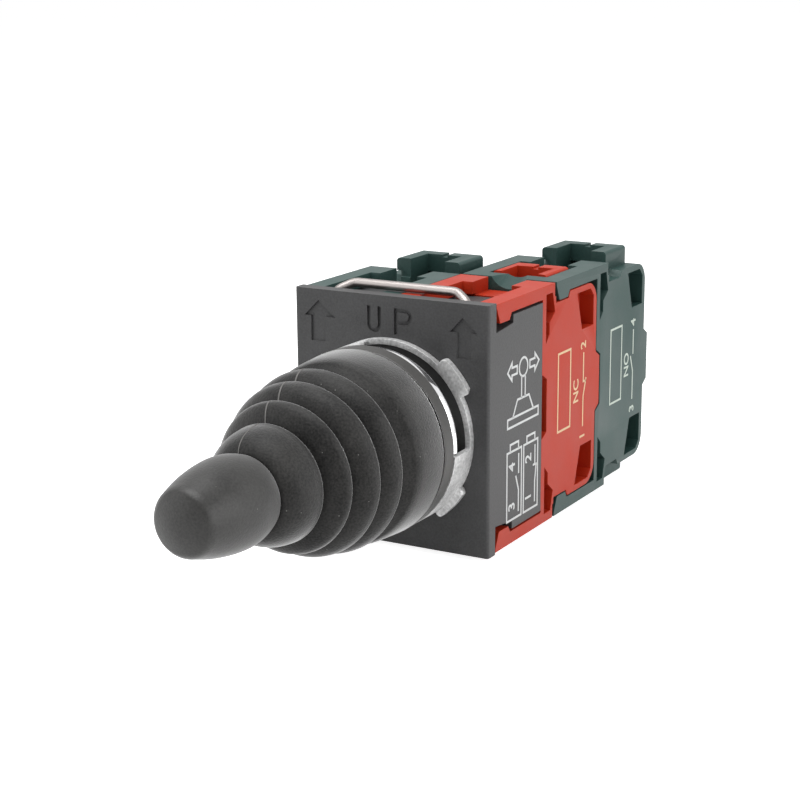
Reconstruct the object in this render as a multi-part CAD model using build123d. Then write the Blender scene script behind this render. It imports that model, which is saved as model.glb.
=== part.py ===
from build123d import *
import os
from math import asin, cos, radians, sin

# Two-way industrial joystick for a 22 mm panel hole, in millimetres.
# The origin is on the head's axis at the panel seat, the rear face of the gasket.
# +Y runs to the rear along that axis, +Z is up, +X is the operator's right.
# Tilting the lever turns a rocker, whose two noses work the pushers behind the panel.
# The pushers work the plungers of the contact blocks, one column of blocks each.

# Clearances
seat_gap = 0.2            # between parts that seat on each other and come apart
running_gap = 0.05        # radial, of the pivot pin in the neck
press_gap = 0.02          # radial, of parts that are pressed together
guide_gap = 0.2           # between a sliding part and its guide
contact_gap = 0.15        # between a nose and what it pushes
spring_gap = 0.05         # at each end of a spring
turned_break = 0.3        # chamfer on turned edges
cut_past = 1.0            # how far a cutting solid runs past what it cuts

# Lever
tilt_limit = 20           # degrees each way
knob_length = 15.9
knob_base_radius = 6.0
knob_waist_radius = 6.8   # the widest ring
knob_waist_at = 4.4       # in front of the base
knob_middle_radius = 6.25
knob_end_radius = 4.8     # where the taper meets the domed end
knob_dome = 1.4           # length of the domed end
knob_end_round = 0.9
insert_radius = 4.0
insert_length = 10.5
insert_groove_depth = 0.4
insert_groove_width = 1.2
rod_radius = 3.0
rod_thread_radius = 2.5
rod_tip_room = 0.6
rod_flange_radius = 4.6
rod_flange_width = 1.5
knob_to_pivot = 40.9      # knob base to the pivot axis
pivot_depth = 4.5         # pivot axis behind the panel seat
pin_radius = 1.25
pin_end_room = 0.3
hub_radius = 3.8
hub_front_length = 3.6
hub_back_length = 2.4
hub_floor = 0.5           # behind the rod's spigot
nose_radius = 1.5
nose_lead = 1.0           # nose centre behind the pivot axis
nose_room = 1.2           # nose to the neck's bore
rocker_height = 6.0
rocker_front_wall = 1.3   # of the arm, in front of the nose centres
rocker_back_wall = 1.05

# Head in front of the panel
neck_radius = 11.0
neck_wall = 1.8
gasket_thickness = 0.8
gasket_inset = 0.8        # under the chrome ring's edge
chrome_width = 1.7
chrome_radius = 14.4
chrome_round = 0.5
chrome_key_radius = 13.8  # under the nut's dogs
chrome_key_room = 1       # degrees each side of a dog
rim_width = 3.2
rim_overhang = 0.4        # beyond the chrome ring
rim_step = 1.7            # from the rim down to the spigot
spigot_length = 5.9
mouth_radius = 10.2
bezel_lip = 1.0           # in front of the neck's end
bead_depth = 0.6
bead_width = 1.2
bead_gap = 0.1

# Rubber boot: each fold is its crest's radius and its share of the way from skirt to tip
boot_wall = 1.0
skirt_wall = 1.8
skirt_length = 7.0
skirt_round = 1.2
skirt_draft = 0.35
folds = [(13.7, 0.17), (12.8, 0.37), (11.1, 0.58), (8.8, 0.74)]
fold_valley_depth = 2.6   # crest to valley, radially
fold_return = 1.2         # crest to valley, along the axis
boot_tip_radius = 6.0
boot_lip = 1.8

# Ring nut
panel_room = 2.4          # seat to the nut's front face
nut_thickness = 1.2
nut_face_recess = 0.5
nut_face_radius = 13.9    # of the recess in the front face
nut_tab_span = 24         # degrees
nut_tabs = [(28, 1.6), (208, 1.6), (306, 1.05)]  # start in degrees and length of each tab
nut_dog_wall = 0.85
nut_dog_gap = 0.15        # round the chrome ring's keyways
nut_dog_span = 70
nut_dog_first = 106

# Contact block
block_width = 17.3
block_height = 35.0
block_depth = 21.1
block_side_gap = 0.05
block_corner = 3.5
beam_height = 2.25        # beams' top above the block's top
beam_width = 3.3
beam_tail = 4.5           # behind the block's front face
hook_length = 5.1
hook_drop = 1.1
hook_lead = 1.2           # beam's tip to the front of the hook's end
hook_nose = 0.6           # height of the beam's upright tip
hook_slant = 0.7
hook_room = 0.3           # hooks to the adapter's front plate
bar_back = 3.3            # beam tips to the cross bar's rear face
bar_setback = 1.6         # of a front block's bar, which leaves room for the clip
bar_drop = 1.1            # of the same bar, below the beams' top
scoop_radius = 3.8        # of the finger scoop in the cross bar's top
scoop_depth = 1.9         # at the bar's front face
scoop_slope = 24          # degrees, rising to the rear
post_width = 1.8
post_lead = 1.0           # in front of the block's front face
recess_height = 10.8      # at the block's front face
recess_slant = 1.0        # of each end of the recess and the band
recess_depth = 1.8
boss_depth = 1.6
guard_half_width = 6.1
guard_half_stacked = 4.9  # within the next block's frame
well_half_width = 3.3
guard_front = 9.0         # behind the block's front face
guard_inset = 3.5         # in front of the block's rear face
guard_bar = 2.6
guard_height = 3.2        # above the block's top
guard_height_stacked = 2.5
guard_root = 3.0          # how far the guard is rooted in the block
guard_shoulder = 0.6      # round of its outer top edges
guard_groove_width = 1.0
guard_groove_depth = 0.4
well_depth = 5.5
well_lip = 0.3            # the well's rear wall behind the guard's back
pocket_depth = 2.6
slot_front = 1.3
slot_width = 1.3
slot_back = 4.6
slot_top_back = 3.7
slot_rise = 0.8           # above the block's top
slot_depth = 7.2          # below the block's top
slot_knee_low = 4.0       # below the block's top
slot_knee_high = 2.5
pane_front = 13.2
pane_inset = 1.25         # in front of the block's rear face
pane_top = 1.0            # below the block's top
pane_height = 6.4
pane_front_slant = 2.1
pane_corner = 1.3
chamber_front = 3.4
chamber_rear_wall = 2.4
chamber_half_width = 4.3
chamber_roof = 2.0        # between the chamber and the wells
spring_pocket = 3.0

# Plunger and contacts
plunger_width = 5.2
plunger_height = 5.6
plunger_front = 1.5       # nose tip, behind the block's front face
carrier_room = 0.15       # left at each end of the stroke
window_wall = 1.2
window_half_width = 1.9
make_window_wall = 1.9    # added behind a make contact's window
bridge_thickness = 0.8
bridge_width = 3.2
bridge_end_room = 2.0     # to the chamber's roof
bridge_round = 0.8
bridge_rest_gap = 0.1
make_gap = 0.25           # left between the contacts with the plunger pressed
return_spring_radius = 2.3
return_spring_wire = 0.45
return_spring_room = 0.25
contact_spring_radius = 1.25
contact_spring_wire = 0.3
strip_thickness = 0.8
strip_width = 4.0
strip_end = 1.6           # past the middle of the rivet
strip_gap = 0.1
rivet_radius = 1.2
rivet_height = 0.6
rivet_inset = 1.8         # from the bridge's end
terminal_plate = 6.0
screw_radius = 1.6
screw_gap = 0.1
screw_head_radius = 2.8
screw_head_height = 2.0
screw_head_break = 0.6
screw_slot = 0.8
screw_slot_depth = 1.0
screw_reach = 1.4         # below the well's floor
clamp_size = 6.0
clamp_thickness = 1.0
wire_room = 0.3

# Adapter, with its front plate
plate_overhang = 0.05     # beyond the blocks, each side
plate_lip = 2.7           # above the adapter's body
plate_thickness = 2.4
plate_corner = 0.5
adapter_depth = 18.7
adapter_drop = 0.2        # below the blocks' top
adapter_rise = 1.35       # middle of the plate above the head's axis
adapter_front_wall = 2.4
adapter_side_wall = 2.2
cavity_half_height = 9.6
notch_gap = 0.4
notch_dip = 0.6           # of the notch's floor towards the front plate
guide_thickness = 3.0
guide_rebate = 0.6
guide_border = 2.8        # above and below the guide plate
guide_screw_inset = 2.6
guide_screw_radius = 1.0
guide_screw_length = 5.0  # in the adapter
guide_screw_head = 1.9
guide_screw_head_height = 1.0
guide_screw_slot = 0.6
lug_radius = 13.3
lug_thickness = 1.2
lug_span = 36
lug_slot_room = 2         # degrees each side

# Locking clip
clip_wire = 0.75          # radius of the wire
clip_bore_gap = 0.1
clip_leg_reach = 12.1     # leg to the middle plane
clip_top_inset = 2.9      # bends of the crossbar, inside the legs
clip_leg_end = 4.0        # below the plate's middle
clip_bar_rise = 0.85      # above the beams' top
clip_bar_back = 5.0       # behind the plate's front face
clip_shoulder_drop = 1.4  # below the crossbar
clip_bend = 2.3

# Pushers
pad_inner_room = 1.1      # hub to pad
pad_outer_room = 0.2      # pad beyond the nose
pusher_leg_length = 4.9
foot_width = 8.6
foot_height = 8.8
foot_thickness = 1.6
stem_width = 4.6
push_pin_radius = 1.6
pusher_spring_radius = 4.0
pusher_spring_wire = 0.6
spring_turns = 3

# Derived places along the axis, from the panel seat
neck_bore = neck_radius - neck_wall
rocker_arm = neck_bore - nose_radius - nose_room
stroke = rocker_arm * sin(radians(tilt_limit))
chrome_front = -gasket_thickness - chrome_width
rim_front = chrome_front - rim_width
spigot_front = rim_front - spigot_length
bead_front = rim_front - (spigot_length + bead_width) / 2
neck_front = spigot_front + bezel_lip
skirt_shoulder = rim_front - skirt_length
plate_front = panel_room + nut_thickness
cavity_front = plate_front + adapter_front_wall
adapter_back = plate_front + adapter_depth
guide_front = adapter_back - guide_thickness
knob_base = pivot_depth - knob_to_pivot
boot_tip = knob_base + seat_gap
flange_front = boot_tip + boot_lip + seat_gap
hub_front = pivot_depth - hub_front_length
hub_back = pivot_depth + hub_back_length
nose_y = pivot_depth + nose_lead
pad_front = nose_y + nose_radius + contact_gap
foot_front = pad_front + pusher_leg_length
foot_back = foot_front + foot_thickness
lug_front = cavity_front + 2 * clip_wire + 2 * contact_gap
neck_back = lug_front + lug_thickness

# Derived radii of the head
rim_radius = chrome_radius + rim_overhang
spigot_radius = rim_radius - rim_step
skirt_radius = spigot_radius + skirt_wall
nut_dog_inner = chrome_key_radius + nut_dog_gap
nut_radius = nut_dog_inner + nut_dog_wall

# Derived places of the blocks, from a block's front face and middle
half_block = block_width / 2 - block_side_gap
half_height = block_height / 2
tier_pitch = block_depth + seat_gap
column_offset = block_width / 2
block_front = adapter_back + seat_gap
beam_top = half_height + beam_height
beam_under = half_height + seat_gap
beam_front = plate_thickness + hook_room - adapter_depth - seat_gap
beam_inner = half_block - beam_width
hook_tip = beam_under - hook_drop
hook_back = beam_front + hook_length
guard_back = block_depth - guard_inset
well_floor = half_height - well_depth
well_back = guard_back - well_lip
screw_y = (guard_front + guard_back - guard_bar) / 2
boss_back = block_depth + boss_depth
half_recess = recess_height / 2
push_bore = push_pin_radius + guide_gap
chamber_back = block_depth - chamber_rear_wall
chamber_half_height = well_floor - chamber_roof
carrier_front = chamber_front + stroke + carrier_room
carrier_back = chamber_back - stroke - carrier_room
window_front = carrier_front + window_wall
break_window_back = carrier_back - window_wall
make_window_back = break_window_back - make_window_wall
make_bridge_front = make_window_back - bridge_thickness - bridge_rest_gap
break_bridge_front = window_front + stroke + bridge_rest_gap
make_strip_front = make_bridge_front + bridge_thickness + stroke + make_gap + rivet_height
break_strip_front = break_bridge_front - bridge_rest_gap - rivet_height - strip_thickness
well_front = break_strip_front - seat_gap
bridge_half = chamber_half_height - bridge_end_room
rivet_reach = bridge_half - rivet_inset
strip_inner = rivet_reach - strip_end
strip_top = well_floor + strip_thickness
clamp_low = strip_top + wire_room
head_low = clamp_low + clamp_thickness + spring_gap
pusher_tip = block_front + plunger_front - contact_gap
stem_end = block_front + recess_depth - stroke - contact_gap

# Derived sizes of the adapter, from the plate's front face and middle
half_plate = block_width + plate_overhang
half_body = half_height - adapter_drop
plate_top = half_body + plate_lip
half_cavity = half_plate - adapter_side_wall
guide_half_height = half_body - guide_border
guide_start = adapter_depth - guide_thickness
clip_leg_y = adapter_front_wall + clip_wire + contact_gap
clip_bar_height = beam_top + clip_bar_rise


def box_between(x, y, z):
    """A box between pairs of limits along each axis."""
    size = [high - low for low, high in (x, y, z)]
    middle = [(high + low) / 2 for low, high in (x, y, z)]
    return Pos(*middle) * Box(*size)


def turned(points):
    """A solid turned about the head's axis from (y, radius) points."""
    outline = Polyline(*[(radius, y) for y, radius in points], close=True)
    return revolve(make_face(outline), axis=Axis.Y)


def rod_along_y(radius, front, back, x=0, z=0):
    """A round bar along the head's axis."""
    return Pos(x, (front + back) / 2, z) * Rot(90, 0, 0) * Cylinder(radius, back - front)


def rod_along_z(radius, low, high, x=0, y=0):
    """A round bar that stands upright."""
    return Pos(x, y, (low + high) / 2) * Cylinder(radius, high - low)


def side_prism(points, half_width):
    """A prism across the object from a (y, z) outline."""
    outline = Plane.YZ * Polyline(*points, close=True)
    return extrude(make_face(outline), amount=half_width, both=True)


def ring_sector(inner, outer, front, back, start=0, span=360):
    """Part of a ring about the head's axis; angles run from +X towards +Z."""
    section = [(inner, front), (outer, front), (outer, back), (inner, back)]
    face = make_face(Polyline(*section, close=True))
    return Rot(0, -(start + span), 0) * revolve(face, axis=Axis.Y, revolution_arc=span)


def both_ends(upper):
    """The upper feature and its mirror image below the block's middle."""
    return upper + mirror(upper, about=Plane.XY)


def coil_spring(mean_radius, wire, front, back):
    """A coil about the Y axis between two faces."""
    height = back - front - 2 * wire
    helix = Helix(pitch=height / spring_turns, height=height, radius=mean_radius)
    section = Plane(origin=helix @ 0, z_dir=helix % 0) * RegularPolygon(wire, 6)
    coil = sweep(section, path=helix, is_frenet=True)
    return Pos(0, front + wire, 0) * Rot(-90, 0, 0) * coil


# The lever and what turns with it

def knob():
    """Tapered grip with a soft edge round its domed end, bored for the insert."""
    end = knob_length - knob_dome
    middle = (knob_waist_at + end) / 2
    taper = Spline(
        (knob_base_radius, 0),
        (knob_waist_radius, -knob_waist_at),
        (knob_middle_radius, -middle),
        (knob_end_radius, -end),
    )
    dome_radius = (knob_end_radius**2 + knob_dome**2) / (2 * knob_dome)
    half_angle = asin(knob_end_radius / dome_radius) / 2
    dome = ThreePointArc(
        (knob_end_radius, -end),
        (dome_radius * sin(half_angle), dome_radius * (1 - cos(half_angle)) - knob_length),
        (0, -knob_length),
    )
    closing = Polyline((0, -knob_length), (0, 0), (knob_base_radius, 0))
    outline = make_face(Curve() + [taper, dome, closing])
    edge = outline.vertices().sort_by(Axis.Y)[1]
    body = Pos(0, knob_base, 0) * revolve(fillet(edge, knob_end_round), axis=Axis.Y)
    bore_front = knob_base - insert_length - seat_gap
    return body - rod_along_y(insert_radius + press_gap, bore_front, knob_base + cut_past)


def knob_insert():
    """Threaded bush with two grooves that key it in the knob."""
    front = knob_base - insert_length
    bush = ring_sector(rod_thread_radius + press_gap, insert_radius, front, knob_base)
    for place in (1, 2):
        groove_front = front + place * insert_length / 3 - insert_groove_width / 2
        bush = bush - ring_sector(
            insert_radius - insert_groove_depth,
            insert_radius + cut_past,
            groove_front,
            groove_front + insert_groove_width,
        )
    return bush


def lever_rod():
    """Steel rod with a thread for the knob, a flange for the boot and a spigot for the rocker."""
    flange_back = flange_front + rod_flange_width
    tip = knob_base - insert_length + rod_tip_room
    spigot_end = hub_back - hub_floor - press_gap
    rod = turned([
        (tip, 0),
        (tip, rod_thread_radius - turned_break),
        (tip + turned_break, rod_thread_radius),
        (knob_base, rod_thread_radius),
        (knob_base, rod_radius),
        (flange_front, rod_radius),
        (flange_front, rod_flange_radius),
        (flange_back, rod_flange_radius),
        (flange_back, rod_radius),
        (hub_front, rod_radius),
        (hub_front, rod_thread_radius),
        (spigot_end, rod_thread_radius),
        (spigot_end, 0),
    ])
    reach = rod_radius + cut_past
    return rod - rod_along_z(pin_radius + press_gap, -reach, reach, 0, pivot_depth)


def rocker():
    """Cross arm on the lever's end, with a rounded nose for each pusher."""
    half = rocker_height / 2
    hub = rod_along_y(hub_radius, hub_front, hub_back)
    arms = box_between(
        (-rocker_arm, rocker_arm),
        (nose_y - rocker_front_wall, nose_y + rocker_back_wall),
        (-half, half),
    )
    noses = [rod_along_z(nose_radius, -half, half, side * rocker_arm, nose_y) for side in (-1, 1)]
    spigot_hole = rod_along_y(rod_thread_radius + press_gap, hub_front - cut_past, hub_back - hub_floor)
    reach = hub_radius + cut_past
    pin_hole = rod_along_z(pin_radius + press_gap, -reach, reach, 0, pivot_depth)
    return hub + arms + noses - spigot_hole - pin_hole


def pivot_pin():
    """Pin through the rocker that turns in the walls of the neck."""
    reach = neck_radius - pin_end_room
    pin = rod_along_z(pin_radius, -reach, reach, 0, pivot_depth)
    return chamfer(pin.edges().filter_by(GeomType.CIRCLE), turned_break)


# The head

def crests():
    """Radius and place of each fold's crest, from the skirt to the tip."""
    return [(radius, skirt_shoulder + share * (boot_tip - skirt_shoulder)) for radius, share in folds]


def rubber_boot():
    """Bellows with a fold per crest, and a skirt that grips the bezel's spigot by a bead."""
    outside = [(boot_tip_radius, boot_tip)]
    for radius, y in reversed(crests()):
        outside += [(radius, y), (radius - fold_valley_depth, y + fold_return)]
    corner = skirt_radius - skirt_draft
    shoulder = (corner - skirt_round, skirt_shoulder)
    skirt_start = (corner, skirt_shoulder + skirt_round)
    round_off = CenterArc((shoulder[0], skirt_start[1]), skirt_round, -90, 90)
    grip = spigot_radius + press_gap
    inside = [
        (skirt_radius, rim_front),
        (grip, rim_front),
        (grip, bead_front + bead_width),
        (grip - bead_depth, bead_front + bead_width),
        (grip - bead_depth, bead_front),
        (grip, bead_front),
        (grip, spigot_front - bead_gap),
    ]
    for radius, y in crests():
        inside.append((radius - fold_valley_depth - boot_wall, y + fold_return))
        inside.append((radius - boot_wall, y))
    lip_back = boot_tip + boot_lip
    inside += [
        (rod_flange_radius + boot_wall, lip_back),
        (rod_radius + seat_gap, lip_back),
        (rod_radius + seat_gap, boot_tip),
        (boot_tip_radius, boot_tip),
    ]
    folded = Polyline(*outside, shoulder)
    outline = Curve() + [folded, round_off, Polyline(skirt_start, *inside)]
    return revolve(make_face(outline), axis=Axis.Y)


def bezel():
    """Rim and spigot that carry the boot in front of the panel."""
    bore = neck_radius + press_gap
    groove_front = bead_front - bead_gap
    groove_back = bead_front + bead_width + bead_gap
    groove = spigot_radius - bead_depth - bead_gap
    return turned([
        (chrome_front, bore),
        (chrome_front, rim_radius - turned_break),
        (chrome_front - turned_break, rim_radius),
        (rim_front + turned_break, rim_radius),
        (rim_front, rim_radius - turned_break),
        (rim_front, spigot_radius),
        (groove_back, spigot_radius),
        (groove_back, groove),
        (groove_front, groove),
        (groove_front, spigot_radius),
        (spigot_front + turned_break, spigot_radius),
        (spigot_front, spigot_radius - turned_break),
        (spigot_front, mouth_radius),
        (neck_front, mouth_radius),
        (neck_front, bore),
    ])


def chrome_ring():
    """Bright trim ring between the rim and the gasket, with a keyway for each dog of the nut."""
    bore = neck_radius + press_gap
    back = -gasket_thickness
    ring = turned([
        (chrome_front, bore),
        (chrome_front, chrome_radius - turned_break),
        (chrome_front + turned_break, chrome_radius),
        (back - chrome_round, chrome_radius),
        (back, chrome_radius - chrome_round),
        (back, bore),
    ])
    front = chrome_front - cut_past
    rim = chrome_radius + cut_past
    span = nut_dog_span + 2 * chrome_key_room
    for turn in (0, 180):
        start = nut_dog_first + turn - chrome_key_room
        ring = ring - ring_sector(chrome_key_radius, rim, front, back + cut_past, start, span)
    return ring


def panel_gasket():
    """Flat rubber ring; its rear face is the panel seat."""
    return ring_sector(neck_radius + press_gap, chrome_radius - gasket_inset, -gasket_thickness, 0)


def threaded_neck():
    """Tube through the panel, with pivot holes and two rear lugs."""
    tube = turned([
        (neck_front, neck_bore + turned_break),
        (neck_front, neck_radius - turned_break),
        (neck_front + turned_break, neck_radius),
        (neck_back, neck_radius),
        (neck_back, neck_bore),
        (neck_front + turned_break, neck_bore),
    ])
    root = neck_radius - neck_wall / 2
    lugs = [
        ring_sector(root, lug_radius, lug_front, neck_back, middle - lug_span / 2, lug_span)
        for middle in (0, 180)
    ]
    reach = neck_radius + cut_past
    return tube + lugs - rod_along_z(pin_radius + running_gap, -reach, reach, 0, pivot_depth)


def ring_nut():
    """Thin nut with outward tabs and two dogs that reach forward into the chrome ring's keyways."""
    bore = neck_radius + press_gap
    nut = ring_sector(bore, nut_radius, panel_room, plate_front)
    recess_back = panel_room + nut_face_recess
    nut = nut - ring_sector(bore - cut_past, nut_face_radius, panel_room - cut_past, recess_back)
    dog_front = chrome_front + bead_gap
    for turn in (0, 180):
        dog_start = nut_dog_first + turn
        nut = nut + ring_sector(nut_dog_inner, nut_radius, dog_front, plate_front, dog_start, nut_dog_span)
    for start, length in nut_tabs:
        edge = nut_radius + length
        nut = nut + ring_sector(nut_dog_inner, edge, panel_room, plate_front, start, nut_tab_span)
    return nut


# The adapter and what slides in it

def in_adapter(shape):
    """Moves a shape from the plate's own middle to its place behind the nut."""
    return Pos(0, plate_front, adapter_rise) * shape


def adapter_outline():
    """Side view with the front plate's lips and the notches for the blocks' hooks."""
    notch_floor = hook_tip - seat_gap - notch_gap
    notch_back = adapter_depth + seat_gap + hook_back + notch_gap
    upper = [
        (0, plate_top),
        (plate_thickness, plate_top),
        (plate_thickness, notch_floor - notch_dip),
        (notch_back, notch_floor),
        (notch_back, half_body),
        (adapter_depth, half_body),
    ]
    return upper + [(y, -z) for y, z in reversed(upper)]


def adapter_cuts():
    """Cavity, guide seat, screw holes, clip bores and the neck's bayonet way."""
    rear = adapter_depth + cut_past
    rebate = half_cavity + guide_rebate
    tall = cavity_half_height
    cuts = [
        box_between((-half_cavity, half_cavity), (adapter_front_wall, rear), (-tall, tall)),
        box_between((-rebate, rebate), (guide_start, rear), (-guide_half_height, guide_half_height)),
    ]
    screw_front = guide_start - guide_screw_length - seat_gap
    for x, z in guide_screw_places():
        cuts.append(rod_along_y(guide_screw_radius + press_gap, screw_front, rear, x, z))
    for side in (-1, 1):
        cuts.append(rod_along_z(clip_wire + clip_bore_gap, 0, plate_top, side * clip_leg_reach, clip_leg_y))
    axis = Pos(0, 0, -adapter_rise)
    wall_back = adapter_front_wall + cut_past
    cuts.append(axis * rod_along_y(neck_radius + contact_gap, -cut_past, wall_back))
    neck_end = neck_back - plate_front + seat_gap
    cuts.append(axis * rod_along_y(lug_radius + seat_gap, adapter_front_wall, neck_end))
    span = lug_span + 2 * lug_slot_room
    for middle in (90, 270):
        slot = ring_sector(neck_bore, lug_radius + seat_gap, -cut_past, wall_back, middle - span / 2, span)
        cuts.append(axis * slot)
    return cuts


def adapter_shell():
    """Square body with the front plate, open at the rear."""
    shell = side_prism(adapter_outline(), half_plate)
    shell = fillet(shell.edges().filter_by(Axis.Z).group_by(Axis.Y)[0], plate_corner)
    for cut in adapter_cuts():
        shell = shell - cut
    return in_adapter(shell)


def guide_screw_places():
    """Screw positions of the pusher guide, from the plate's middle."""
    x = half_cavity + guide_rebate - guide_screw_inset
    z = guide_half_height - guide_screw_inset
    return [(side * x, end * z) for side in (-1, 1) for end in (-1, 1)]


def pusher_guide():
    """Rear plate of the adapter with a square guide hole for each pusher."""
    half = half_cavity + guide_rebate - press_gap
    half_tall = guide_half_height - press_gap
    front = guide_start - cut_past
    rear = adapter_depth + cut_past
    plate = box_between((-half, half), (guide_start, adapter_depth), (-half_tall, half_tall))
    hole = stem_width / 2 + guide_gap
    for middle in (-column_offset, column_offset):
        plate = plate - box_between((middle - hole, middle + hole), (front, rear), (-hole, hole))
    sink = adapter_depth - guide_screw_head_height - seat_gap
    for x, z in guide_screw_places():
        plate = plate - rod_along_y(guide_screw_radius + guide_gap, front, rear, x, z)
        plate = plate - rod_along_y(guide_screw_head + guide_gap, sink, rear, x, z)
    return in_adapter(plate)


def guide_screws():
    """Four sunk screws, as separate solids."""
    head_front = adapter_depth - guide_screw_head_height - seat_gap
    head_back = adapter_depth - seat_gap
    screws = []
    for x, z in guide_screw_places():
        shank = rod_along_y(guide_screw_radius, guide_start - guide_screw_length, head_front, x, z)
        head = rod_along_y(guide_screw_head, head_front, head_back, x, z)
        half_slot = guide_screw_slot / 2
        slot_reach = guide_screw_head + cut_past
        slot = box_between(
            (x - slot_reach, x + slot_reach),
            (head_back - guide_screw_head_height / 2, head_back + cut_past),
            (z - half_slot, z + half_slot),
        )
        screws.append(in_adapter(shank + head - slot))
    return Compound(children=screws)


def locking_clip():
    """Bent wire whose legs drop in front of the neck's lugs."""
    right = [
        (clip_leg_reach - clip_top_inset, clip_bar_back, clip_bar_height),
        (clip_leg_reach, clip_leg_y, clip_bar_height - clip_shoulder_drop),
        (clip_leg_reach, clip_leg_y, -clip_leg_end),
    ]
    left = [(-x, y, z) for x, y, z in reversed(right)]
    path = FilletPolyline(*(left + right), radius=clip_bend)
    wire = sweep(Plane(origin=path @ 0, z_dir=path % 0) * Circle(clip_wire), path=path)
    return in_adapter(wire)


def pusher(side):
    """Moulded slider: pad under a rocker nose, offset foot, guided stem and push pin."""
    half_pad = rocker_height / 2
    half_stem = stem_width / 2
    x = side * column_offset
    inner = hub_radius + pad_inner_room
    outer = rocker_arm + nose_radius + pad_outer_room
    pad = box_between(sorted((side * inner, side * outer)), (pad_front, foot_back), (-half_pad, half_pad))
    foot = box_between(
        (x - foot_width / 2, x + foot_width / 2),
        (foot_front, foot_back),
        (adapter_rise - foot_height / 2, adapter_rise + foot_height / 2),
    )
    stem = box_between(
        (x - half_stem, x + half_stem),
        (foot_front, stem_end),
        (adapter_rise - half_stem, adapter_rise + half_stem),
    )
    pin = rod_along_y(push_pin_radius, foot_front, pusher_tip, x, adapter_rise)
    return pad + foot + stem + pin


def pusher_spring(side):
    """Coil round a pusher's stem that brings the lever back to the middle."""
    front = foot_back + spring_gap
    coil = coil_spring(pusher_spring_radius, pusher_spring_wire, front, guide_front - spring_gap)
    return Pos(side * column_offset, 0, adapter_rise) * coil


# The contact blocks, each drawn from its own front face and middle

def housing(by_clip, stacked):
    """Moulded block with hooked arms, wells for the terminals and their guards."""
    body = block_core()
    body = body + both_ends(block_arms(by_clip)) + both_ends(terminal_guard(stacked))
    body = body - both_ends(hook_notch()) - both_ends(terminal_well()) - both_ends(side_pockets())
    recess_floor = half_recess - recess_slant
    recess = [
        (-cut_past, -half_recess),
        (0, -half_recess),
        (recess_depth, -recess_floor),
        (recess_depth, recess_floor),
        (0, half_recess),
        (-cut_past, half_recess),
    ]
    body = body - side_prism(recess, half_block + cut_past)
    body = body - box_between(
        (-chamber_half_width, chamber_half_width),
        (chamber_front, chamber_back),
        (-chamber_half_height, chamber_half_height),
    )
    body = body - rod_along_y(push_bore, -cut_past, boss_back + cut_past)
    pocket = return_spring_radius + return_spring_wire + return_spring_room
    return body - rod_along_y(pocket, chamber_back - cut_past, chamber_back + spring_pocket)


def block_core():
    """Main body with rounded rear corners and a raised band on its rear face."""
    corners = [(0, -half_height), (block_depth, -half_height), (block_depth, half_height), (0, half_height)]
    outline = make_face(Plane.YZ * Polyline(*corners, close=True))
    rear_corners = outline.vertices().group_by(Axis.Y)[-1]
    core = extrude(fillet(rear_corners, block_corner), amount=half_block, both=True)
    band = half_recess - guide_gap
    crown = band - recess_slant
    boss = [
        (block_depth - cut_past, -band),
        (block_depth, -band),
        (boss_back, -crown),
        (boss_back, crown),
        (block_depth, band),
        (block_depth - cut_past, band),
    ]
    return core + side_prism(boss, half_block)


def rooted_arm(front_points):
    """Side view of an arm that ends in the block's top front corner."""
    root = [
        (0, beam_under),
        (0, half_height - cut_past),
        (beam_tail, half_height - cut_past),
        (beam_tail, beam_top),
    ]
    return front_points + root


def block_arms(by_clip):
    """Two beams with hooks, joined by a scooped cross bar and stiffened by two posts."""
    above = (0, beam_top + cut_past)
    hook = [
        (beam_front, beam_top),
        (beam_front, beam_top - hook_nose),
        (beam_front + hook_lead, hook_tip),
        (hook_back - hook_slant, hook_tip),
        (hook_back, beam_under),
    ]
    between = (-beam_inner, beam_inner)
    beams = side_prism(rooted_arm(hook), half_block)
    beams = beams - box_between(between, (beam_front - cut_past, beam_tail + cut_past), above)
    bar_front = beam_front + bar_setback if by_clip else beam_front
    bar_end = beam_front + bar_back
    bar_top = beam_top - bar_drop if by_clip else beam_top
    scoop_middle = bar_top - scoop_depth + scoop_radius / cos(radians(scoop_slope))
    scoop = Rot(scoop_slope, 0, 0) * rod_along_y(scoop_radius, -bar_back, 2 * bar_back)
    scoop = Pos(0, bar_front, scoop_middle) * scoop
    bar = box_between(between, (bar_front, bar_end), (hook_tip, bar_top)) - scoop
    post = [(-post_lead, beam_top), (-post_lead, beam_under)]
    clear = beam_inner - post_width
    posts = side_prism(rooted_arm(post), beam_inner)
    posts = posts - box_between((-clear, clear), (-post_lead - cut_past, beam_tail + cut_past), above)
    return beams + bar + posts


def hook_notch():
    """Room in the block's top for the hooks and the cross bar of the block behind."""
    front = tier_pitch + beam_front - seat_gap
    back = tier_pitch + hook_back + seat_gap
    bar_end = tier_pitch + beam_front + bar_back + seat_gap
    floor = hook_tip - seat_gap
    outline = [
        (front, floor),
        (back - hook_slant, floor),
        (back, floor + hook_drop),
        (back, half_height + cut_past),
        (front, half_height + cut_past),
    ]
    middle = beam_inner - seat_gap
    kept = box_between((-middle, middle), (bar_end, back + cut_past), (0, beam_top))
    return side_prism(outline, half_block + cut_past) - kept


def terminal_guard(stacked):
    """Guard round a terminal screw, open to the front; a stacked block's is narrower and lower."""
    half = guard_half_stacked if stacked else guard_half_width
    guard_top = half_height + (guard_height_stacked if stacked else guard_height)
    guard = box_between((-half, half), (guard_front, guard_back), (half_height - guard_root, guard_top))
    guard = fillet(guard.edges().filter_by(Axis.Y).group_by(Axis.Z)[-1], guard_shoulder)
    groove = box_between(
        (-guard_groove_width / 2, guard_groove_width / 2),
        (guard_front, guard_back + cut_past),
        (guard_top - guard_groove_depth, guard_top + cut_past),
    )
    return guard - groove


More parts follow.
